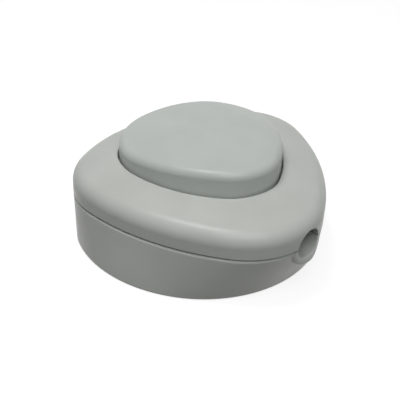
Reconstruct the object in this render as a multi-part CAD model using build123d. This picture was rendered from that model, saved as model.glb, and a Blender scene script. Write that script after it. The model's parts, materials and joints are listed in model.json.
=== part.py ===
"""Foot switch for a lamp cord: casing, push button, latch and contacts. Millimetres, +Z up.

The origin is on the floor below the button's axis. The cord runs along X, and the nose of the
casing points a little to one side of +X.
"""
import os
from math import atan2, cos, degrees, radians, sin, sqrt

from build123d import *

# Casing outline: a nose lobe and two rear lobes joined by slack arcs
NOSE_ANGLE = -10.5
NOSE_R = 21.8
NOSE_OFFSET = 16.8
REAR_R = 18.4
REAR_OFFSET = 19.0
REAR_TURN = 112.0
FLANK_R = 68.0
TAIL_R = 47.0
SEAM_Z = 15.3
SEAM_GAP = 0.6

# Floor outline: one sweep from rear lobe to rear lobe, with the nose raked back
NOSE_RAKE = 6.4
FLOOR_INSET = 0.2
FLOOR_EDGE_R = 0.9
BASE_LIP_R = 0.6

# Shell sections
FLOOR_T = 2.4
BASE_WALL = 2.4
COVER_WALL = 2.2
ROOF_T = 2.0
SHOULDER_Z = 22.5
SHOULDER_R = 4.2
SHOULDER_INNER_R = 2.8
ROOF_SLOPE = 0.18
ROOF_AXIS_GAP = 0.6
TONGUE_T = 1.0
TONGUE_H = 1.4
COVER_LIP_T = 1.2
RIM_R = 0.4

# Clearances
FIT = 0.1
SLIDE_FIT = 0.15
SCREW_FIT = 0.05
PIVOT_FIT = 0.05
BUTTON_GAP = 0.4

# Push button
BUTTON_NOSE_R = 13.4
BUTTON_NOSE_OFFSET = 9.9
BUTTON_REAR_R = 15.8
BUTTON_REAR_OFFSET = 8.9
BUTTON_REAR_TURN = 127.0
BUTTON_FLANK_R = 40.0
BUTTON_TAIL_R = 58.0
BUTTON_TOP_Z = 32.8
BUTTON_CROWN_R = 72.0
BUTTON_CROWN_LENGTH_R = 152.0
BUTTON_CROWN_OFFSET = 3.5
BUTTON_EDGE_R = 2.2
BUTTON_WALL = 1.8
BUTTON_ROOF_T = 2.2
SPRING_SEAT_T = 2.8
SPRING_SEAT_EDGE = 0.6
BUTTON_LIP_W = 1.2
BUTTON_LIP_T = 1.4
BUTTON_LIP_NOTCH = 1.0
BUTTON_STOP_GAP = 0.15
TRAVEL = 5.0
BOSS_R = 4.2
BOSS_L = 5.2
SPRING_RING_W = 0.9
SPRING_RING_H = 1.5

# Return spring
SPRING_R = 8.2
SPRING_WIRE_R = 0.5
SPRING_TURNS = 6

# Switch body
BODY_X = 26.0
BODY_Y = 19.0
BODY_TOP_Z = 15.5
WELL_FLOOR_Z = 3.4
EAR_W = 6.4
EAR_LENGTH = 6.0
EAR_Z = 6.0
EAR_T = 2.5
EAR_SCREW_Y = 12.7
EAR_BOSS_R = 3.0

# Plunger and bridge
PLUNGER_W = 8.0
PLUNGER_BOTTOM_Z = 9.0
PLUNGER_TOP_GAP = 0.6
NECK_R = 2.5
NECK_END_GAP = 0.3
BRIDGE_L = 16.0
BRIDGE_W = 3.8
BRIDGE_T = 0.8
BRIDGE_Z = 10.7
BRIDGE_SLOT_TOP_Z = 16.6
BRIDGE_FIT = 0.4
STUD_X = 6.6
STUD_R = 1.4
STUD_T = 0.8
CONTACT_SPRING_R = 1.4
CONTACT_SPRING_WIRE_R = 0.22
CONTACT_SPRING_TURNS = 5
CONTACT_GAP = 0.1

# Latch
WIRE_R = 0.5
PIVOT_Z = 12.6
ARM_L = 5.2
ARM_Y = 5.4
WIRE_TIP_Y = 3.0
WIRE_TAIL_Y = 8.8
LATCH_SWING = 15.5
TRACK_HALF_W = 0.8
TRACK_DEPTH = 1.3
TRACK_NOTCH_DROP = 1.6
POCKET_HALF_W = 2.6
POCKET_Y = 6.9
POCKET_FLOOR_Z = 11.4
LEAF_W = 5.0
LEAF_T = 0.3
LEAF_Y = 6.5
LEAF_BOTTOM_Z = 8.6
LEAF_TOP_Z = 18.4
LEAF_HOLE_R = 0.9
LEAF_BUMP_Z = 15.0
LEAF_BUMP_H = 0.8
LEAF_BUMP_W = 4.0

# Terminals
STRIP_T = 1.0
STRIP_W = 4.0
STRIP_START_X = 4.8
STRIP_Z = 3.0
RISER_X = 14.2
RISER_W = 5.0
TERMINAL_L = 5.6
TERMINAL_W = 6.0
TERMINAL_Z = 7.5
TERMINAL_H = 5.5
TERMINAL_WIRE_R = 1.4
TERMINAL_WIRE_RISE = 2.1

# Neutral link
NEUTRAL_L = 16.0
NEUTRAL_W = 6.0
NEUTRAL_H = 6.5
NEUTRAL_Y = -20.0
NEUTRAL_SCREW_X = 4.5
NEUTRAL_WIRE_R = 1.6
NEUTRAL_WIRE_RISE = 2.6
CRADLE_PAD = 1.1
CRADLE_WALL = 1.25
CRADLE_WALL_H = 3.0
CRADLE_END = 1.4

# Cord inlets and clamps
CORD_R = 3.5
CORD_BORE_R = 4.1
CORD_FLARE_R = 1.0
SPOUT_EDGE_R = 1.0
COLLAR_HALF_W = 6.3
COLLAR_DEPTH = 7.0
COLLAR_GAP = 0.6
CLAMP_IN_INSET = 8.8
CLAMP_OUT_INSET = 6.2
CLAMP_W = 4.6
CLAMP_L = 18.0
CLAMP_T = 2.0
CLAMP_CORNER_R = 1.15
CLAMP_RISE = 0.2
CLAMP_RIB_W = 1.2
CLAMP_RIB_H = 0.8
CLAMP_SCREW_END = 2.6
PEDESTAL_DROP = 4.0
SADDLE_DROP = 1.7

# Screws: shank radius, head radius, head height
SMALL_SCREW = (1.25, 2.1, 1.5)
BODY_SCREW = (1.2, 2.2, 1.5)
CLAMP_SCREW = (1.45, 2.4, 1.4)
CASE_SCREW = (1.45, 2.75, 1.8)
HEAD_EDGE_R = 0.5
SLOT_W = 0.6
SLOT_DEPTH = 0.7
CROSS_MARGIN = 0.9
CLAMP_SCREW_L = 9.0
BODY_SCREW_L = 5.9
CASE_SCREW_L = 13.5
CASE_HEAD_SEAT_Z = 6.0
CASE_POST_R = 4.2
CASE_BORE_R = 3.0
CASE_BOSS_R = 3.0
CASE_SCREW_INSET = 7.2

# Nose hook that holds the cover's front edge
HOOK_ANGLE = -32.0
HOOK_INSET = 7.4
HOOK_T = 1.4
HOOK_W = 5.0
HOOK_NIB = 1.0
HOOK_DROP = 4.0
HOOK_NIB_H = 1.5
HOOK_GAP = 0.3
LEDGE_H = 1.7
LEDGE_REACH = 3.0

HUGE = 120.0
TINY = 0.01
RIM_STEP = 5
SAME_HEADING = 0.001


def polar(length, angle):
    return Vector(length * cos(radians(angle)), length * sin(radians(angle)))


def heading(vector):
    return degrees(atan2(vector.Y, vector.X))


def tangent_arcs(nose, rears, flank_r, tail_r):
    """Closed outline as (centre, radius, start angle, turn) arcs: each side arc touches its two lobes."""
    corners = [nose] + rears
    radii = (flank_r, tail_r, flank_r)
    sides = []
    for (c1, r1), (c2, r2), side_r in zip(corners, corners[1:] + corners[:1], radii):
        reach1 = side_r - r1
        reach2 = side_r - r2
        span = (c2 - c1).length
        along = (reach1**2 - reach2**2 + span**2) / (2 * span)
        across = sqrt(reach1**2 - along**2)
        step = (c2 - c1).normalized()
        centre = c1 + step * along + Vector(-step.Y, step.X) * across
        sides.append((centre, heading(c1 - centre), heading(c2 - centre)))
    arcs = []
    for i, (centre, start, end) in enumerate(sides):
        following = (i + 1) % len(sides)
        corner, corner_r = corners[following]
        arcs.append((centre, radii[i], start, (end - start) % 360))
        arcs.append((corner, corner_r, end, (sides[following][1] - end) % 360))
    return arcs


def swept_arcs(arcs, tip):
    """Outline with the same rear, and one arc in front that touches both rear lobes and the nose tip."""
    (left, left_r, _, _), tail, (right, right_r, right_start, _) = arcs[1:4]
    nose = polar(1, NOSE_ANGLE)
    to_tip = nose * tip - left
    radius = (to_tip.dot(to_tip) - left_r**2) / (2 * (to_tip.dot(nose) - left_r))
    centre = nose * (tip - radius)
    left_start = heading(left - centre)
    right_end = heading(right - centre)
    return [
        (centre, radius, right_end, (left_start - right_end) % 360),
        (left, left_r, left_start, (tail[2] - left_start) % 360),
        tail,
        (right, right_r, right_start, (right_end - right_start) % 360),
    ]


def rear_lobes(offset, turn, radius):
    return [(polar(offset, NOSE_ANGLE + side * turn), radius) for side in (1, -1)]


def reach(arcs, angle):
    """Distance from the axis to the outline in one direction."""
    ray = polar(1, angle)
    for centre, radius, start, turn in arcs:
        along = ray.dot(centre)
        chord = radius**2 - centre.dot(centre) + along**2
        length = along + sqrt(max(chord, 0))
        if chord > 0 and (heading(ray * length - centre) - start) % 360 <= turn:
            return length


REARS = rear_lobes(REAR_OFFSET, REAR_TURN, REAR_R)
BUTTON_REARS = rear_lobes(BUTTON_REAR_OFFSET, BUTTON_REAR_TURN, BUTTON_REAR_R)
CASE_ARCS = tangent_arcs((polar(NOSE_OFFSET, NOSE_ANGLE), NOSE_R), REARS, FLANK_R, TAIL_R)
FLOOR_ARCS = swept_arcs(CASE_ARCS, NOSE_OFFSET + NOSE_R - NOSE_RAKE)
BUTTON_ARCS = tangent_arcs(
    (polar(BUTTON_NOSE_OFFSET, NOSE_ANGLE), BUTTON_NOSE_R), BUTTON_REARS, BUTTON_FLANK_R, BUTTON_TAIL_R
)


def outline(arcs, z, inset=0.0):
    edges = [CenterArc((c.X, c.Y), r - inset, start, turn) for c, r, start, turn in arcs]
    return Pos(0, 0, z) * make_face(edges)


def prism(arcs, z0, z1, inset=0.0):
    return extrude(outline(arcs, z0, inset), z1 - z0, dir=(0, 0, 1))


def ring(section):
    """Carry a wall section, drawn as (minus inset, z), round the casing outline."""
    pieces = []
    for centre, radius, start, turn in CASE_ARCS:
        placed = Plane.XZ * Pos(radius, 0) * section
        wedge = revolve(placed, Axis.Z, revolution_arc=turn)
        pieces.append(Pos(centre.X, centre.Y, 0) * Rot(0, 0, start) * wedge)
    return pieces[0] + pieces[1:]


def block(x0, x1, y0, y1, z0, z1):
    size = (x1 - x0, y1 - y0, z1 - z0)
    return Pos((x0 + x1) / 2, (y0 + y1) / 2, (z0 + z1) / 2) * Box(*size)


def post(x, y, z0, z1, radius):
    return Pos(x, y, (z0 + z1) / 2) * Cylinder(radius, z1 - z0)


def rod_x(x0, x1, y, z, radius):
    return Pos((x0 + x1) / 2, y, z) * Rot(0, 90, 0) * Cylinder(radius, x1 - x0)


def rod_y(x, y0, y1, z, radius):
    return Pos(x, (y0 + y1) / 2, z) * Rot(90, 0, 0) * Cylinder(radius, y1 - y0)


def screw(x, y, seat_z, length, sizes, crossed, point=-1):
    """Screw whose head sits on seat_z and whose shank points along point times Z."""
    shank_r, head_r, head_h = sizes
    shank = post(0, 0, -length, 0, shank_r)
    head = post(0, 0, 0, head_h, head_r)
    head = fillet(head.edges().group_by(Axis.Z)[-1], HEAD_EDGE_R)
    slot_x = head_r - CROSS_MARGIN if crossed else HUGE
    slot = block(-slot_x, slot_x, -SLOT_W / 2, SLOT_W / 2, head_h - SLOT_DEPTH, head_h)
    body = shank + head - slot
    if crossed:
        body -= Rot(0, 0, 90) * slot
    flip = Rot(0, 0, 0) if point < 0 else Rot(180, 0, 0)
    return Pos(x, y, seat_z) * flip * body


def coil(radius, wire_r, z0, z1, turns):
    """Helical spring whose wire stays between z0 and z1."""
    height = z1 - z0 - 2 * wire_r
    path = Pos(0, 0, z0 + wire_r) * Helix(pitch=height / turns, height=height, radius=radius)
    start = Plane(origin=path @ 0, z_dir=path % 0)
    return sweep(start * Circle(wire_r), path=path, is_frenet=True)


def roof_z(inset):
    return SHOULDER_Z + ROOF_SLOPE * inset


def write(node, *solids):
    shape = solids[0] if len(solids) == 1 else Compound(children=list(solids))
    export_step(shape, f"parts/{node}.step")


def matched(arcs, headings):
    """The outline cut at the given headings, so that two outlines pair up arc by arc with equal tangents."""
    cut = []
    for start, end in zip(headings, headings[1:] + [headings[0] + 360]):
        for centre, radius, arc_start, turn in arcs:
            if ((start + end) / 2 - arc_start) % 360 < turn:
                cut.append((centre, radius, start, end - start))
    return cut


def base_solid(inset):
    """Solid between the floor and seam outlines, both moved in by inset."""
    headings = []
    for junction in sorted(arc[2] % 360 for arc in FLOOR_ARCS + CASE_ARCS):
        if not headings or junction - headings[-1] > SAME_HEADING:
            headings.append(junction)
    floor = outline(matched(FLOOR_ARCS, headings), 0, FLOOR_INSET + inset)
    seam = outline(matched(CASE_ARCS, headings), SEAM_Z, inset)
    return loft([floor, seam], ruled=True)


# Base shell, kept inside its own outer skin
base_skin = base_solid(0)
base_inner = base_solid(BASE_WALL)
base_core = base_solid(BASE_WALL / 2)
base = fillet(base_skin.edges().group_by(Axis.Z)[0], FLOOR_EDGE_R)
base = fillet(base.edges().group_by(Axis.Z)[-1], BASE_LIP_R)
base -= base_inner & block(-HUGE, HUGE, -HUGE, HUGE, FLOOR_T, HUGE)

tongue_out = COVER_LIP_T + FIT
tongue_section = make_face(
    Polyline(
        (-tongue_out, SEAM_Z - TONGUE_H),
        (-tongue_out - TONGUE_T, SEAM_Z - TONGUE_H),
        (-tongue_out - TONGUE_T, SEAM_Z + TONGUE_H),
        (-tongue_out, SEAM_Z + TONGUE_H),
        close=True,
    )
)
inlet_zones = [
    block(side * HUGE / 2 - HUGE / 2, side * HUGE / 2 + HUGE / 2, -COLLAR_HALF_W - FIT, COLLAR_HALF_W + FIT,
          SEAM_Z, HUGE)
    for side in (1, -1)
]
base += ring(tongue_section) - inlet_zones

case_screw_offset = REAR_OFFSET + REAR_R - CASE_SCREW_INSET
case_screw_spots = [polar(case_screw_offset, NOSE_ANGLE + side * REAR_TURN) for side in (1, -1)]
clamp_spots = []
collar_spans = []
for side, inset in ((1, CLAMP_IN_INSET), (-1, CLAMP_OUT_INSET)):
    outer_x = side * reach(CASE_ARCS, heading(Vector(side, 0)))
    clamp_x = outer_x - side * inset
    inner_x = clamp_x + side * (CLAMP_W / 2 + COLLAR_GAP)
    clamp_spots.append(clamp_x)
    collar_spans.append((min(inner_x, outer_x), max(inner_x, outer_x)))
clamp_screw_y = CLAMP_L / 2 - CLAMP_SCREW_END
clamp_z = SEAM_Z + CLAMP_RISE
clamp_seat_z = clamp_z + CLAMP_T
pedestal_z = SEAM_Z - PEDESTAL_DROP

fittings = [post(spot.X, spot.Y, FLOOR_T / 2, SEAM_Z, CASE_POST_R) for spot in case_screw_spots]
for side in (1, -1):
    fittings.append(post(0, side * EAR_SCREW_Y, FLOOR_T / 2, EAR_Z, EAR_BOSS_R))
for x0, x1 in collar_spans:
    fittings.append(block(x0, x1, -COLLAR_HALF_W, COLLAR_HALF_W, SEAM_Z - COLLAR_DEPTH, SEAM_Z))
for x in clamp_spots:
    pedestal = block(x - CLAMP_W / 2, x + CLAMP_W / 2, -CLAMP_L / 2, CLAMP_L / 2, FLOOR_T / 2, pedestal_z)
    fittings.append(pedestal - rod_x(x - CLAMP_W, x + CLAMP_W, 0, SEAM_Z - SADDLE_DROP, CORD_R))
cradle_x = NEUTRAL_L / 2 + CRADLE_END
cradle_y = NEUTRAL_W / 2 + CRADLE_WALL + FIT
cradle = block(-cradle_x, cradle_x, NEUTRAL_Y - cradle_y, NEUTRAL_Y + cradle_y, FLOOR_T / 2,
               FLOOR_T + CRADLE_PAD + CRADLE_WALL_H)
cradle -= block(-HUGE, HUGE, NEUTRAL_Y - NEUTRAL_W / 2 - FIT, NEUTRAL_Y + NEUTRAL_W / 2 + FIT,
                FLOOR_T + CRADLE_PAD, HUGE)
fittings.append(cradle)
hook_x = reach(CASE_ARCS, HOOK_ANGLE) - HOOK_INSET
hook_z = SEAM_Z - HOOK_DROP
ledge_x = hook_x + HOOK_T + HOOK_GAP
ledge_z = hook_z + HOOK_NIB_H + FIT
fittings.append(
    Rot(0, 0, HOOK_ANGLE) * block(ledge_x, ledge_x + LEDGE_REACH, -HOOK_W / 2, HOOK_W / 2, ledge_z,
                                  ledge_z + LEDGE_H)
)
base += [fitting & base_core for fitting in fittings]

# Half collar below the nose's cord hole, flush with the cover's wall
spout = rod_x(*collar_spans[0], 0, SEAM_Z, COLLAR_HALF_W)
spout = fillet(spout.edges().group_by(Axis.X)[-1], SPOUT_EDGE_R)
base += spout & prism(CASE_ARCS, 0, SEAM_Z)

for spot in case_screw_spots:
    base -= post(spot.X, spot.Y, -TINY, CASE_HEAD_SEAT_Z, CASE_BORE_R)
    base -= post(spot.X, spot.Y, 0, HUGE, CASE_SCREW[0] + SCREW_FIT)
for side in (1, -1):
    base -= post(0, side * EAR_SCREW_Y, EAR_Z + EAR_T - BODY_SCREW_L - FIT, HUGE, BODY_SCREW[0] + SCREW_FIT)
for x in clamp_spots:
    for side in (1, -1):
        base -= post(x, side * clamp_screw_y, clamp_seat_z - CLAMP_SCREW_L - FIT, HUGE,
                     CLAMP_SCREW[0] + SCREW_FIT)

# Cover shell
roof_reach = min(NOSE_R, REAR_R) - ROOF_AXIS_GAP
cover_section = make_face(
    Polyline(
        (0, SEAM_Z + SEAM_GAP),
        (0, SHOULDER_Z),
        (-roof_reach, roof_z(roof_reach)),
        (-roof_reach, roof_z(roof_reach) - ROOF_T),
        (-COVER_WALL, roof_z(COVER_WALL) - ROOF_T),
        (-COVER_WALL, SEAM_Z + TONGUE_H),
        (-COVER_LIP_T, SEAM_Z + TONGUE_H),
        (-COVER_LIP_T, SEAM_Z + SEAM_GAP),
        close=True,
    )
)
shoulder = cover_section.vertices().sort_by_distance((0, SHOULDER_Z))[0]
cover_section = fillet(shoulder, SHOULDER_R)
inner_shoulder = cover_section.vertices().sort_by_distance((-COVER_WALL, roof_z(COVER_WALL) - ROOF_T))[0]
cover_section = fillet(inner_shoulder, SHOULDER_INNER_R)
rim_z = roof_z(min(reach(CASE_ARCS, angle) - reach(BUTTON_ARCS, angle) for angle in range(0, 360, RIM_STEP)))
filled_section = make_face(
    Polyline(
        (-COVER_LIP_T, FLOOR_T),
        (-COVER_LIP_T, roof_z(COVER_LIP_T) - ROOF_T),
        (-roof_reach, roof_z(roof_reach) - ROOF_T / 2),
        (-roof_reach, FLOOR_T),
        close=True,
    )
)
roof = ring(cover_section)
cover_core = ring(filled_section)
aperture = prism(BUTTON_ARCS, SEAM_Z, HUGE, -BUTTON_GAP)
cover = roof - aperture
rim_edges = new_edges(roof, aperture, combined=cover)
rim_edges = rim_edges.filter_by(lambda edge: edge.center().Z > rim_z - ROOF_T / 2)
cover = fillet(rim_edges, RIM_R)

cover_fittings = []
for spot in case_screw_spots:
    cover_fittings.append(post(spot.X, spot.Y, SEAM_Z + FIT, roof_z(roof_reach), CASE_BOSS_R))
for x0, x1 in collar_spans:
    cover_fittings.append(
        block(x0, x1, -COLLAR_HALF_W, COLLAR_HALF_W, SEAM_Z + SEAM_GAP, SEAM_Z + COLLAR_DEPTH)
    )
hook = block(hook_x, hook_x + HOOK_T, -HOOK_W / 2, HOOK_W / 2, hook_z, roof_z(roof_reach))
hook += block(hook_x, hook_x + HOOK_T + HOOK_NIB, -HOOK_W / 2, HOOK_W / 2, hook_z, hook_z + HOOK_NIB_H)
cover_fittings.append(Rot(0, 0, HOOK_ANGLE) * hook)
cover += [fitting & cover_core for fitting in cover_fittings]
for spot in case_screw_spots:
    cover -= post(spot.X, spot.Y, SEAM_Z, CASE_HEAD_SEAT_Z + CASE_SCREW_L + FIT, CASE_SCREW[0] + SCREW_FIT)


def inlet_cutter(bore_l):
    """Cord bore of the given length along +X, starting at the origin, with a rounded flare at its far end."""
    flare_x = bore_l - CORD_FLARE_R
    flare_y = CORD_BORE_R + CORD_FLARE_R
    beyond_x = bore_l + CORD_FLARE_R
    profile = make_face([
        Line((0, 0), (0, CORD_BORE_R)),
        Line((0, CORD_BORE_R), (flare_x, CORD_BORE_R)),
        CenterArc((flare_x, flare_y), CORD_FLARE_R, -90, 90),
        Line((bore_l, flare_y), (beyond_x, flare_y)),
        Line((beyond_x, flare_y), (beyond_x, 0)),
        Line((beyond_x, 0), (0, 0)),
    ])
    return revolve(profile, Axis.X)


# Cord inlets: one bore along X at each end, split by the seam
for side, (x0, x1) in zip((1, -1), collar_spans):
    inner_x = (x0 if side > 0 else x1) - side * COLLAR_GAP / 2
    facing = Rot(0, 0, 0) if side > 0 else Rot(0, 0, 180)
    cutter = Pos(inner_x, 0, SEAM_Z) * facing * inlet_cutter(x1 - x0 + COLLAR_GAP / 2)
    base -= cutter
    cover -= cutter

def crown(drop):
    """Solid below the button's domed top, lowered by drop: round across the nose and slacker along it."""
    hub = BUTTON_CROWN_LENGTH_R - BUTTON_CROWN_R
    across = BUTTON_CROWN_R - drop
    section = make_face([
        CenterArc((0, hub), across, 0, 180),
        Line((-across, hub), (-across, 0)),
        Line((-across, 0), (across, 0)),
        Line((across, 0), (across, hub)),
    ])
    apex = polar(BUTTON_CROWN_OFFSET, NOSE_ANGLE)
    place = Pos(apex.X, apex.Y, BUTTON_TOP_Z - BUTTON_CROWN_LENGTH_R)
    return place * Rot(0, 0, NOSE_ANGLE + 90) * Rot(-90, 0, 0) * revolve(section, Axis.X)


# Push button
ceiling_z = BUTTON_TOP_Z - SPRING_SEAT_T
boss_z = ceiling_z - BOSS_L
button_lip_z = rim_z - ROOF_SLOPE * BUTTON_LIP_W - ROOF_T - BUTTON_STOP_GAP
button = prism(BUTTON_ARCS, button_lip_z - BUTTON_LIP_T, BUTTON_TOP_Z) & crown(0)
button = fillet(button.faces().sort_by(Axis.Z)[-1].edges(), BUTTON_EDGE_R)
notch_y = CLAMP_L / 2 + BUTTON_LIP_NOTCH
button_lip = prism(BUTTON_ARCS, button_lip_z - BUTTON_LIP_T, button_lip_z, -BUTTON_LIP_W)
button += button_lip - block(-HUGE, 0, -notch_y, notch_y, 0, HUGE)
hollow = prism(BUTTON_ARCS, 0, BUTTON_TOP_Z, BUTTON_WALL)
button -= hollow & crown(BUTTON_ROOF_T)
seat_r = SPRING_R + SPRING_WIRE_R + SPRING_SEAT_EDGE
button += post(0, 0, ceiling_z, BUTTON_TOP_Z - BUTTON_ROOF_T / 2, seat_r)
ring_r = SPRING_R - SPRING_WIRE_R - 2 * FIT
spring_ring = post(0, 0, ceiling_z - SPRING_RING_H, ceiling_z + TINY, ring_r)
spring_ring -= post(0, 0, 0, HUGE, ring_r - SPRING_RING_W)
button += spring_ring
button += post(0, 0, boss_z, ceiling_z + TINY, BOSS_R)
button -= post(0, 0, 0, ceiling_z, NECK_R + SCREW_FIT)

# Switch body
half_plunger = PLUNGER_W / 2
switch_body = block(-BODY_X / 2, BODY_X / 2, -BODY_Y / 2, BODY_Y / 2, FLOOR_T, BODY_TOP_Z)
ear_y = BODY_Y / 2 + EAR_LENGTH
switch_body += block(-EAR_W / 2, EAR_W / 2, -ear_y, ear_y, EAR_Z, EAR_Z + EAR_T)
switch_body -= block(-half_plunger - SLIDE_FIT, half_plunger + SLIDE_FIT, -half_plunger - SLIDE_FIT,
                     half_plunger + SLIDE_FIT, WELL_FLOOR_Z, HUGE)
slot_x = BRIDGE_L / 2 + BRIDGE_FIT
slot_y = BRIDGE_W / 2 + BRIDGE_FIT
switch_body -= block(-slot_x, slot_x, -slot_y, slot_y, STRIP_Z, HUGE)
switch_body -= block(-BODY_X, BODY_X, -STRIP_W / 2 - SCREW_FIT, STRIP_W / 2 + SCREW_FIT, STRIP_Z - SCREW_FIT,
                     STRIP_Z + STRIP_T + SCREW_FIT)
switch_body -= block(-POCKET_HALF_W, POCKET_HALF_W, 0, POCKET_Y, POCKET_FLOOR_Z, HUGE)
switch_body -= block(-LEAF_W / 2 - SCREW_FIT, LEAF_W / 2 + SCREW_FIT, LEAF_Y - SCREW_FIT,
                     LEAF_Y + LEAF_T + SCREW_FIT, LEAF_BOTTOM_Z - FIT, HUGE)
switch_body -= rod_y(0, 0, WIRE_TAIL_Y + FIT, PIVOT_Z, WIRE_R + PIVOT_FIT)
for side in (1, -1):
    switch_body -= post(0, side * EAR_SCREW_Y, 0, HUGE, BODY_SCREW[0] + SCREW_FIT)

# Plunger with the heart-shaped latch track on its +Y face
plunger_top_z = boss_z - PLUNGER_TOP_GAP
plunger = block(-half_plunger, half_plunger, -half_plunger, half_plunger, PLUNGER_BOTTOM_Z, plunger_top_z)
plunger += post(0, 0, plunger_top_z, ceiling_z - NECK_END_GAP, NECK_R)
plunger -= block(-HUGE, HUGE, -BRIDGE_W / 2 - FIT, BRIDGE_W / 2 + FIT, BRIDGE_Z, BRIDGE_SLOT_TOP_Z)
tip_z = PIVOT_Z + ARM_L
lane_x = ARM_L * sin(radians(LATCH_SWING))
lane_z = PIVOT_Z + ARM_L * cos(radians(LATCH_SWING)) + TRAVEL
track_points = [(0, tip_z), (lane_x, lane_z), (0, lane_z - TRACK_NOTCH_DROP), (-lane_x, lane_z), (0, tip_z)]
for (x0, z0), (x1, z1) in zip(track_points, track_points[1:]):
    lane = SlotCenterToCenter(sqrt((x1 - x0) ** 2 + (z1 - z0) ** 2), 2 * TRACK_HALF_W)
    lane = Pos((x0 + x1) / 2, (z0 + z1) / 2) * Rot(0, 0, degrees(atan2(z1 - z0, x1 - x0))) * lane
    plunger -= extrude(Plane.XZ.offset(-half_plunger - TINY) * lane, TRACK_DEPTH + TINY)

# Latch wire and its leaf
latch_wire = rod_y(0, ARM_Y, WIRE_TAIL_Y, PIVOT_Z, WIRE_R)
latch_wire += post(0, ARM_Y, PIVOT_Z, tip_z, WIRE_R)
latch_wire += rod_y(0, WIRE_TIP_Y, ARM_Y, tip_z, WIRE_R)
latch_wire += [Pos(0, ARM_Y, z) * Sphere(WIRE_R) for z in (PIVOT_Z, tip_z)]
latch_leaf = block(-LEAF_W / 2, LEAF_W / 2, LEAF_Y, LEAF_Y + LEAF_T, LEAF_BOTTOM_Z, LEAF_TOP_Z)
latch_leaf -= rod_y(0, 0, HUGE, PIVOT_Z, LEAF_HOLE_R)
latch_leaf += block(-LEAF_BUMP_W / 2, LEAF_BUMP_W / 2, ARM_Y + WIRE_R + FIT, LEAF_Y, LEAF_BUMP_Z,
                    LEAF_BUMP_Z + LEAF_BUMP_H)

# Contacts
strip_top_z = STRIP_Z + STRIP_T
bridge = block(-BRIDGE_L / 2, BRIDGE_L / 2, -BRIDGE_W / 2, BRIDGE_W / 2, BRIDGE_Z, BRIDGE_Z + BRIDGE_T)
bridge_studs = [post(x, 0, BRIDGE_Z - STUD_T, BRIDGE_Z, STUD_R) for x in (STUD_X, -STUD_X)]
fixed_stud_top_z = BRIDGE_Z - STUD_T - TRAVEL - CONTACT_GAP
fixed_studs = [post(x, 0, strip_top_z, fixed_stud_top_z, STUD_R) for x in (STUD_X, -STUD_X)]
contact_spring = coil(CONTACT_SPRING_R, CONTACT_SPRING_WIRE_R, BRIDGE_Z + BRIDGE_T, BRIDGE_SLOT_TOP_Z,
                      CONTACT_SPRING_TURNS)

terminal_x = RISER_X + TERMINAL_L / 2
terminal_top_z = TERMINAL_Z + TERMINAL_H
terminal = block(STRIP_START_X, RISER_X + STRIP_T, -STRIP_W / 2, STRIP_W / 2, STRIP_Z, strip_top_z)
terminal += block(RISER_X, RISER_X + STRIP_T, -RISER_W / 2, RISER_W / 2, STRIP_Z, TERMINAL_Z + STRIP_T)
terminal += block(RISER_X, RISER_X + TERMINAL_L, -TERMINAL_W / 2, TERMINAL_W / 2, TERMINAL_Z, terminal_top_z)
terminal_wire_z = TERMINAL_Z + TERMINAL_WIRE_RISE
terminal -= rod_x(RISER_X - STRIP_T, RISER_X + 2 * TERMINAL_L, 0, terminal_wire_z, TERMINAL_WIRE_R)
terminal -= post(terminal_x, 0, terminal_wire_z, HUGE, SMALL_SCREW[0] + SCREW_FIT)
terminal_screw_l = terminal_top_z - terminal_wire_z - TERMINAL_WIRE_R / 2

# Neutral link
neutral_z = FLOOR_T + CRADLE_PAD
neutral_top_z = neutral_z + NEUTRAL_H
neutral_wire_z = neutral_z + NEUTRAL_WIRE_RISE
neutral = block(-NEUTRAL_L / 2, NEUTRAL_L / 2, NEUTRAL_Y - NEUTRAL_W / 2, NEUTRAL_Y + NEUTRAL_W / 2,
                neutral_z, neutral_top_z)
neutral -= rod_x(-NEUTRAL_L, NEUTRAL_L, NEUTRAL_Y, neutral_wire_z, NEUTRAL_WIRE_R)
for side in (1, -1):
    neutral -= post(side * NEUTRAL_SCREW_X, NEUTRAL_Y, neutral_wire_z, HUGE, SMALL_SCREW[0] + SCREW_FIT)
neutral_screw_l = neutral_top_z - neutral_wire_z - NEUTRAL_WIRE_R / 2


def cord_clamp(x):
    bar = block(x - CLAMP_W / 2, x + CLAMP_W / 2, -CLAMP_L / 2, CLAMP_L / 2, clamp_z, clamp_seat_z)
    bar = fillet(bar.edges().filter_by(Axis.Z), CLAMP_CORNER_R)
    bar += block(x - CLAMP_RIB_W / 2, x + CLAMP_RIB_W / 2, -CORD_R, CORD_R, clamp_z - CLAMP_RIB_H, clamp_z)
    for side in (1, -1):
        bar -= post(x, side * clamp_screw_y, 0, HUGE, CLAMP_SCREW[0] + SCREW_FIT)
    return bar


os.makedirs("parts", exist_ok=True)
write("base", base)
write("cover", cover)
write("push_button", button)
write("return_spring", coil(SPRING_R, SPRING_WIRE_R, BODY_TOP_Z, ceiling_z, SPRING_TURNS))
write("switch_body", switch_body)
write("plunger", plunger)
write("latch_wire", latch_wire)
write("latch_leaf", latch_leaf)
write("contact_bridge", bridge)
write("bridge_contacts", *bridge_studs)
write("contact_spring", contact_spring)
write("line_terminal", terminal)
write("load_terminal", Rot(0, 0, 180) * terminal)
write("fixed_contacts", *fixed_studs)
write("terminal_screws", *[
    screw(side * terminal_x, 0, terminal_top_z, terminal_screw_l, SMALL_SCREW, False) for side in (1, -1)
])
write("neutral_block", neutral)
write("neutral_screws", *[
    screw(side * NEUTRAL_SCREW_X, NEUTRAL_Y, neutral_top_z, neutral_screw_l, SMALL_SCREW, False)
    for side in (1, -1)
])
write("body_screws", *[
    screw(0, side * EAR_SCREW_Y, EAR_Z + EAR_T, BODY_SCREW_L, BODY_SCREW, True) for side in (1, -1)
])
write("cord_clamp_in", cord_clamp(clamp_spots[0]))
write("cord_clamp_out", cord_clamp(clamp_spots[1]))
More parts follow.
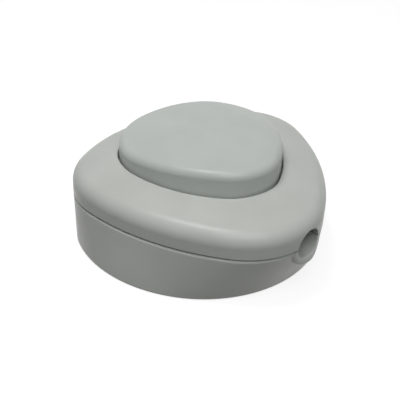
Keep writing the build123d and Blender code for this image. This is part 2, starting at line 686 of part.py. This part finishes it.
write("clamp_screws", *[
    screw(x, side * clamp_screw_y, clamp_seat_z, CLAMP_SCREW_L, CLAMP_SCREW, True)
    for x in clamp_spots for side in (1, -1)
])
write("case_screws", *[
    screw(spot.X, spot.Y, CASE_HEAD_SEAT_Z, CASE_SCREW_L, CASE_SCREW, True, point=1)
    for spot in case_screw_spots
])
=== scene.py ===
import json
import math

import bmesh
import bpy
from mathutils import Matrix, Quaternion, Vector


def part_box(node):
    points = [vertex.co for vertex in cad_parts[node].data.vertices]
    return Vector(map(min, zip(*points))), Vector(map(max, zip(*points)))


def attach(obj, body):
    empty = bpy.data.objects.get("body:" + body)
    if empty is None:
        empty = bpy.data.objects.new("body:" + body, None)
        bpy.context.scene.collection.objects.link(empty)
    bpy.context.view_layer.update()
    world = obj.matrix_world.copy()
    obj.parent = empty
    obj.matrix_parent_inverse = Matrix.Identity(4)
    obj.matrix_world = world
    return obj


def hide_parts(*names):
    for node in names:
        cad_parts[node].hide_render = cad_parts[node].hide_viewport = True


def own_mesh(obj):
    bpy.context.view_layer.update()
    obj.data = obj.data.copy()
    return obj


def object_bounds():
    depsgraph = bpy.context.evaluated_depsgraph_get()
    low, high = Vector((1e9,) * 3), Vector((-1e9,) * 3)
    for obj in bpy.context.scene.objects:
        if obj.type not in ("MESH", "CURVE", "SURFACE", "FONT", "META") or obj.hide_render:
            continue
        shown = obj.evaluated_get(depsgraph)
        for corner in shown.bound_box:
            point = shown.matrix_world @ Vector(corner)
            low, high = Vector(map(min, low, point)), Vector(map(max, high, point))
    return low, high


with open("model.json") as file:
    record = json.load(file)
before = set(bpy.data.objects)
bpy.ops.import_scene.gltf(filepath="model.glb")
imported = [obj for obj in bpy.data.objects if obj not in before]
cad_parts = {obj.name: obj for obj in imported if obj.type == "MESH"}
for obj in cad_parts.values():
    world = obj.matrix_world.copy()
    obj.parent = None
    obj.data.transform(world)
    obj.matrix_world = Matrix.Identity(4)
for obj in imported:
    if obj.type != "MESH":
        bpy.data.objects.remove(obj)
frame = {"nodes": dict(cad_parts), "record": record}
nodes = frame["nodes"]
cad_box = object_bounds()

# Photograph's camera, in metres and degrees, aimed at the button's axis on the seam
VIEW_AZIMUTH = 45.04
VIEW_ELEVATION = 32.10
VIEW_ROLL = 2.62
VIEW_DISTANCE = 0.2161
VIEW_PIXELS_PER_METRE = 3525.0
VIEW_CENTRE = (207.15, 183.08)
IMAGE_SIZE = 400.0
SENSOR_WIDTH = 36.0
NEAR_CLIP = 0.005
SEAM_HEIGHT = 0.0153

# Studio, in degrees from the camera's bearing, metres and watts: a small light to the left draws the
# edges' gloss, and a broad one in front lights the whole
EDGE_BEARING = -70.0
EDGE_ELEVATION = 76.0
EDGE_WATTS = 0.44
EDGE_SIZE = 0.10
EDGE_DISTANCE = 0.35
FRONT_BEARING = 10.0
FRONT_ELEVATION = 57.0
FRONT_WATTS = 2.3
FRONT_SIZE = 0.5
FRONT_DISTANCE = 0.7
AMBIENT = 0.12
FLOOR_BOUNCE = 0.10
FLOOR_TONE = 0.32
FLOOR_LIFT = 0.80
FLOOR_HALF_WIDTH = 3.0
FLOOR_DROP = 0.00002
FLOOR_ROUGHNESS = 0.9

# Moulded plastic: pattern scales per metre, and the swing of its gloss
PLASTIC_SPECULAR = 0.3
SHELL_ROUGHNESS = 0.32
BUTTON_ROUGHNESS = 0.32
INSULATOR_ROUGHNESS = 0.45
PLUNGER_ROUGHNESS = 0.40
MOTTLE_SCALE = 90.0
GLOSS_SCALE = 260.0
GRAIN_SCALE = 2600.0
GLOSS_SWING = 0.04
SHELL_GRAIN = 0.000004
BUTTON_GRAIN = 0.000003
INSULATOR_GRAIN = 0.000006
PLUNGER_GRAIN = 0.000004

# Metal: draw lines and tarnish
LINE_SCALE = 1800.0
TARNISH_SCALE = 220.0
LINE_DEPTH = 0.000006
LINE_SMOOTHER = 0.08
LINE_ROUGHER = 0.10
SPRING_ROUGHNESS = 0.30
PLATED_ROUGHNESS = 0.33
BRASS_ROUGHNESS = 0.30
SILVER_ROUGHNESS = 0.25

# Part of a noise pattern's range that colours and gloss are spread over
NOISE_LOW = 0.3
NOISE_HIGH = 0.7

# Return spring: wire radius in metres, and how finely its coil is drawn
SPRING_WIRE_R = 0.0005
SPRING_TURNS = 6
STEPS_A_TURN = 40
WIRE_SIDES = 14


def new_material(name):
    material = bpy.data.materials.new(name)
    material.use_nodes = True
    tree = material.node_tree
    shader = tree.nodes["Principled BSDF"]
    return material, tree, shader


def object_coordinates(tree, scale=(1, 1, 1)):
    coords = tree.nodes.new("ShaderNodeTexCoord")
    mapping = tree.nodes.new("ShaderNodeMapping")
    mapping.inputs["Scale"].default_value = scale
    tree.links.new(coords.outputs["Object"], mapping.inputs["Vector"])
    return mapping.outputs["Vector"]


def noise(tree, vector, scale, detail):
    node = tree.nodes.new("ShaderNodeTexNoise")
    node.inputs["Scale"].default_value = scale
    node.inputs["Detail"].default_value = detail
    tree.links.new(vector, node.inputs["Vector"])
    return node.outputs["Fac"]


def colour_between(tree, factor, dark, light):
    ramp = tree.nodes.new("ShaderNodeValToRGB")
    ramp.color_ramp.elements[0].position = NOISE_LOW
    ramp.color_ramp.elements[0].color = (*dark, 1)
    ramp.color_ramp.elements[1].position = NOISE_HIGH
    ramp.color_ramp.elements[1].color = (*light, 1)
    tree.links.new(factor, ramp.inputs["Fac"])
    return ramp.outputs["Color"]


def value_between(tree, factor, low, high):
    node = tree.nodes.new("ShaderNodeMapRange")
    node.inputs["From Min"].default_value = NOISE_LOW
    node.inputs["From Max"].default_value = NOISE_HIGH
    node.inputs["To Min"].default_value = low
    node.inputs["To Max"].default_value = high
    tree.links.new(factor, node.inputs["Value"])
    return node.outputs["Result"]


def bump(tree, shader, height, depth):
    node = tree.nodes.new("ShaderNodeBump")
    node.inputs["Strength"].default_value = 1.0
    node.inputs["Distance"].default_value = depth
    tree.links.new(height, node.inputs["Height"])
    tree.links.new(node.outputs["Normal"], shader.inputs["Normal"])


def moulded_plastic(name, dark, light, roughness, grain_depth):
    """Satin moulded plastic: faint mottling, uneven gloss and a fine spark-eroded grain."""
    material, tree, shader = new_material(name)
    vector = object_coordinates(tree)
    mottle = noise(tree, vector, MOTTLE_SCALE, detail=3.0)
    gloss = noise(tree, vector, GLOSS_SCALE, detail=3.0)
    grain = noise(tree, vector, GRAIN_SCALE, detail=2.0)
    uneven = value_between(tree, gloss, roughness - GLOSS_SWING, roughness + GLOSS_SWING)
    tree.links.new(colour_between(tree, mottle, dark, light), shader.inputs["Base Color"])
    tree.links.new(uneven, shader.inputs["Roughness"])
    bump(tree, shader, grain, grain_depth)
    shader.inputs["Specular IOR Level"].default_value = PLASTIC_SPECULAR
    return material


def drawn_metal(name, dark, light, roughness, stretch):
    """Metal with fine draw or rolling lines, stretched along an axis, and slight tarnish."""
    material, tree, shader = new_material(name)
    lines = noise(tree, object_coordinates(tree, stretch), LINE_SCALE, detail=3.0)
    tarnish = noise(tree, object_coordinates(tree), TARNISH_SCALE, detail=4.0)
    brushed = value_between(tree, lines, roughness - LINE_SMOOTHER, roughness + LINE_ROUGHER)
    tree.links.new(colour_between(tree, tarnish, dark, light), shader.inputs["Base Color"])
    tree.links.new(brushed, shader.inputs["Roughness"])
    bump(tree, shader, lines, LINE_DEPTH)
    shader.inputs["Metallic"].default_value = 1.0
    return material


shell_white = moulded_plastic(
    "shell_white", (0.503, 0.523, 0.491), (0.543, 0.563, 0.531), SHELL_ROUGHNESS, SHELL_GRAIN)
button_white = moulded_plastic(
    "button_white", (0.490, 0.524, 0.496), (0.530, 0.564, 0.536), BUTTON_ROUGHNESS, BUTTON_GRAIN)
insulator_black = moulded_plastic(
    "insulator_black", (0.012, 0.011, 0.010), (0.022, 0.020, 0.018), INSULATOR_ROUGHNESS, INSULATOR_GRAIN)
plunger_natural = moulded_plastic(
    "plunger_natural", (0.58, 0.55, 0.46), (0.66, 0.63, 0.54), PLUNGER_ROUGHNESS, PLUNGER_GRAIN)
spring_wire = drawn_metal(
    "spring_wire", (0.38, 0.38, 0.39), (0.52, 0.52, 0.53), SPRING_ROUGHNESS, (1, 1, 0.1))
plated_steel = drawn_metal(
    "plated_steel", (0.44, 0.44, 0.43), (0.60, 0.60, 0.60), PLATED_ROUGHNESS, (1, 1, 0.3))
rolled_brass = drawn_metal(
    "rolled_brass", (0.52, 0.34, 0.10), (0.70, 0.50, 0.20), BRASS_ROUGHNESS, (0.1, 1, 1))
contact_silver = drawn_metal(
    "contact_silver", (0.66, 0.66, 0.64), (0.80, 0.80, 0.79), SILVER_ROUGHNESS, (1, 1, 1))

FINISHES = {
    "shell_plastic": shell_white,
    "button_plastic": button_white,
    "inner_plastic": insulator_black,
    "plunger_plastic": plunger_natural,
    "spring_steel": spring_wire,
    "screw_steel": plated_steel,
    "brass": rolled_brass,
    "contact_silver": contact_silver,
}
for subpart in frame["record"]["subparts"]:
    node = nodes[subpart["node"]]
    node.data.materials.clear()
    node.data.materials.append(FINISHES[subpart["material_slot"]])


def coil_spring():
    """Return spring in the button, seated on the switch body, as long as the CAD spring's box."""
    low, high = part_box("return_spring")
    length = high.z - low.z
    steps = SPRING_TURNS * STEPS_A_TURN
    start = Matrix.Translation((high.x - SPRING_WIRE_R, 0, low.z + SPRING_WIRE_R))
    upright = Matrix.Rotation(math.pi / 2, 4, "X")
    shape = bmesh.new()
    bmesh.ops.create_circle(shape, segments=WIRE_SIDES, radius=SPRING_WIRE_R, matrix=start @ upright)
    rise = (length - 2 * SPRING_WIRE_R) / steps
    bmesh.ops.spin(
        shape, geom=shape.verts[:] + shape.edges[:], cent=(0, 0, 0), axis=(0, 0, 1),
        dvec=(0, 0, rise), angle=2 * math.pi * SPRING_TURNS, steps=steps)
    bmesh.ops.holes_fill(shape, edges=shape.edges[:], sides=WIRE_SIDES)
    bmesh.ops.recalc_face_normals(shape, faces=shape.faces[:])
    mesh = bpy.data.meshes.new("return_spring_coil")
    shape.to_mesh(mesh)
    shape.free()
    mesh.shade_smooth()
    mesh.materials.append(spring_wire)
    coil = bpy.data.objects.new("return_spring_coil", mesh)
    bpy.context.scene.collection.objects.link(coil)
    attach(coil, "case")
    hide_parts("return_spring")
    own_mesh(coil)


def background_rays(tree):
    """1 for rays that see the white background: those of the camera, of gloss and of clear material."""
    path = tree.nodes.new("ShaderNodeLightPath")
    seen = path.outputs["Is Camera Ray"]
    for ray in ("Is Glossy Ray", "Is Transmission Ray"):
        either = tree.nodes.new("ShaderNodeMath")
        either.operation = "MAXIMUM"
        tree.links.new(seen, either.inputs[0])
        tree.links.new(path.outputs[ray], either.inputs[1])
        seen = either.outputs[0]
    return seen


def stage_floor():
    """Pale floor under the casing, which keeps its shadow."""
    shape = bmesh.new()
    bmesh.ops.create_grid(shape, x_segments=1, y_segments=1, size=FLOOR_HALF_WIDTH)
    mesh = bpy.data.meshes.new("floor")
    shape.to_mesh(mesh)
    shape.free()
    floor = bpy.data.objects.new("floor", mesh)
    bpy.context.scene.collection.objects.link(floor)
    floor.location.z = cad_box[0].z - FLOOR_DROP
    material, tree, shader = new_material("floor_white")
    shader.inputs["Roughness"].default_value = FLOOR_ROUGHNESS
    seen = background_rays(tree)
    tone = tree.nodes.new("ShaderNodeMix")
    tone.data_type = "RGBA"
    tone.inputs["A"].default_value = (FLOOR_BOUNCE, FLOOR_BOUNCE, FLOOR_BOUNCE, 1)
    tone.inputs["B"].default_value = (FLOOR_TONE, FLOOR_TONE, FLOOR_TONE, 1)
    tree.links.new(seen, tone.inputs["Factor"])
    tree.links.new(tone.outputs["Result"], shader.inputs["Base Color"])
    lift = tree.nodes.new("ShaderNodeMath")
    lift.operation = "MULTIPLY"
    lift.inputs[1].default_value = FLOOR_LIFT
    tree.links.new(seen, lift.inputs[0])
    shader.inputs["Emission Color"].default_value = (1, 1, 1, 1)
    tree.links.new(lift.outputs[0], shader.inputs["Emission Strength"])
    mesh.materials.append(material)


def studio_world():
    """White background around a low, even light."""
    world = bpy.data.worlds.new("studio")
    bpy.context.scene.world = world
    world.use_nodes = True
    tree = world.node_tree
    background = tree.nodes["Background"]
    background.inputs["Color"].default_value = (1, 1, 1, 1)
    strength = tree.nodes.new("ShaderNodeMapRange")
    strength.inputs["To Min"].default_value = AMBIENT
    strength.inputs["To Max"].default_value = 1.0
    tree.links.new(background_rays(tree), strength.inputs["Value"])
    tree.links.new(strength.outputs["Result"], background.inputs["Strength"])


def softbox(name, bearing, elevation, distance, size, watts):
    """Square soft light aimed at the casing's middle; bearing 0 stands on the camera's side."""
    lamp = bpy.data.lights.new(name, "AREA")
    lamp.shape = "SQUARE"
    lamp.size = size
    lamp.energy = watts
    light = bpy.data.objects.new(name, lamp)
    bpy.context.scene.collection.objects.link(light)
    back = direction(VIEW_AZIMUTH + bearing, elevation)
    light.location = Vector((0, 0, SEAM_HEIGHT)) + back * distance
    light.rotation_mode = "QUATERNION"
    light.rotation_quaternion = (-back).to_track_quat("-Z", "Y")


def direction(azimuth, elevation):
    a = math.radians(azimuth)
    e = math.radians(elevation)
    return Vector((math.sin(a) * math.cos(e), -math.cos(a) * math.cos(e), math.sin(e)))


def photo_camera():
    """Camera at the photograph's angle, distance and framing."""
    lens = bpy.data.cameras.new("camera")
    camera = bpy.data.objects.new("camera", lens)
    bpy.context.scene.collection.objects.link(camera)
    back = direction(VIEW_AZIMUTH, VIEW_ELEVATION)
    camera.location = Vector((0, 0, SEAM_HEIGHT)) + back * VIEW_DISTANCE
    camera.rotation_mode = "QUATERNION"
    roll = Quaternion((0, 0, 1), math.radians(VIEW_ROLL))
    camera.rotation_quaternion = (-back).to_track_quat("-Z", "Y") @ roll
    lens.sensor_width = SENSOR_WIDTH
    lens.lens = VIEW_PIXELS_PER_METRE * VIEW_DISTANCE / IMAGE_SIZE * SENSOR_WIDTH
    lens.shift_x = 0.5 - VIEW_CENTRE[0] / IMAGE_SIZE
    lens.shift_y = VIEW_CENTRE[1] / IMAGE_SIZE - 0.5
    lens.clip_start = NEAR_CLIP
    bpy.context.scene.camera = camera


coil_spring()
stage_floor()
studio_world()
softbox("edge_light", EDGE_BEARING, EDGE_ELEVATION, EDGE_DISTANCE, EDGE_SIZE, EDGE_WATTS)
softbox("front_light", FRONT_BEARING, FRONT_ELEVATION, FRONT_DISTANCE, FRONT_SIZE, FRONT_WATTS)
photo_camera()
bpy.context.scene.view_settings.view_transform = "Standard"
